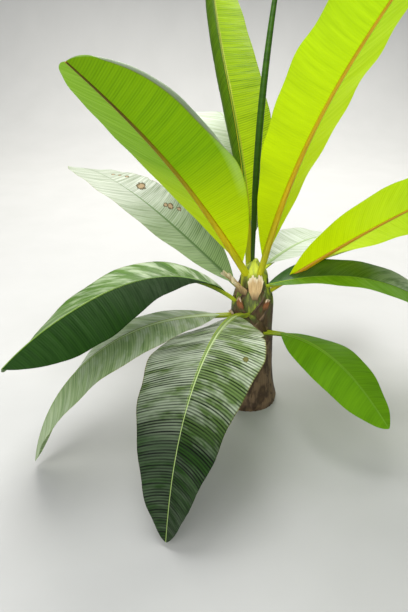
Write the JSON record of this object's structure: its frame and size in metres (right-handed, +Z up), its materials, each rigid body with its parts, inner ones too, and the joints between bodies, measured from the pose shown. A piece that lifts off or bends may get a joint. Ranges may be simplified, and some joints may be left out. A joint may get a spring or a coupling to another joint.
{
  "type": "banana plant",
  "caption": "Young banana plant with a short leafy stem, broad arching leaves, a rolled new leaf and dry leaf bases round its neck.",
  "frame": {"origin": "middle of the flat cut under the stem, at ground level", "axes": "+Z up along the stem, the front of the plant faces -Y, +X to the right seen from the front"},
  "size_m": [1.966, 1.9547, 2.0594],
  "materials": {
    "stem": "matt, fibrous leaf sheaths",
    "leaf": "smooth and slightly waxy, finely pleated",
    "new_leaf": "smooth and slightly waxy",
    "dry_sheath": "dry and papery"
  },
  "bodies": {
    "root": {"leaf_back_inner": "leaf", "leaf_back_left_inner": "leaf", "leaf_back_left_outer": "leaf", "leaf_back_outer": "leaf", "leaf_back_right_inner": "leaf", "leaf_back_right_outer": "leaf", "leaf_front_inner": "leaf", "leaf_front_outer": "leaf", "leaf_left_inner": "leaf", "leaf_left_outer": "leaf", "leaf_low_left_inner": "leaf", "leaf_low_left_outer": "leaf", "leaf_low_right_inner": "leaf", "leaf_low_right_outer": "leaf", "leaf_new_rolled": "new_leaf", "leaf_right_back": "leaf", "leaf_right_inner": "leaf", "leaf_right_outer": "leaf", "leaf_upper_left": "leaf", "leaf_upper_middle": "leaf", "leaf_upper_right": "leaf", "old_base_back": "dry_sheath", "old_base_front_left": "dry_sheath", "old_base_front_right": "dry_sheath", "old_base_low_left": "dry_sheath", "sheath_front": "dry_sheath", "sheath_left": "dry_sheath", "stem": "stem"}
  },
  "joints": []
}
